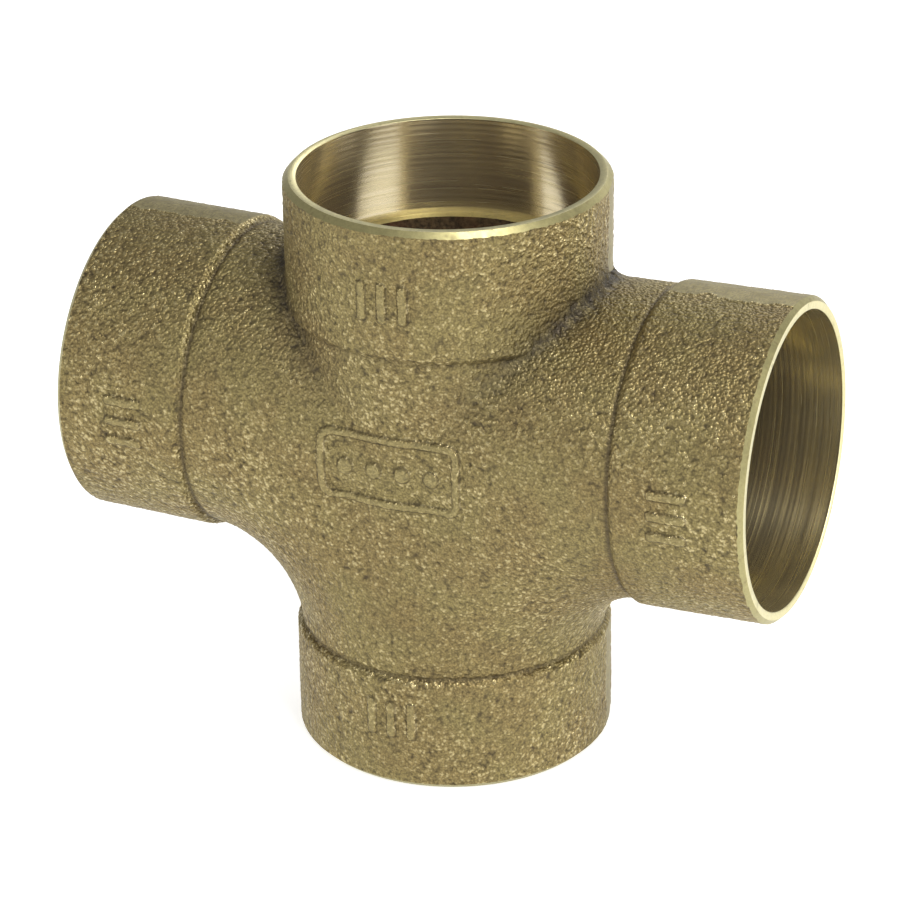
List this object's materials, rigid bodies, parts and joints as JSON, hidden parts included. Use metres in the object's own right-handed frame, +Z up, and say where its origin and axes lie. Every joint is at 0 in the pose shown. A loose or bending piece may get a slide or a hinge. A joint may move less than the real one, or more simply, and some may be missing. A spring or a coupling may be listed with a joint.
{
  "type": "drainage cross fitting",
  "caption": "Cast bronze drainage cross fitting: a straight vertical run crossed by opposed arms that sweep down into the bottom outlet, with a machined solder cup at every end.",
  "frame": {"origin": "centre of the bottom cup's end face, on the axis of the vertical run", "axes": "+Z up the run towards the top cup, +X along the right arm, -Y the marked front"},
  "size_m": [0.1022, 0.0454, 0.0841],
  "materials": {
    "cast_bronze": "sand-cast skin with machined cups and end faces"
  },
  "bodies": {
    "root": {"cast_body": "cast_bronze"}
  },
  "joints": []
}
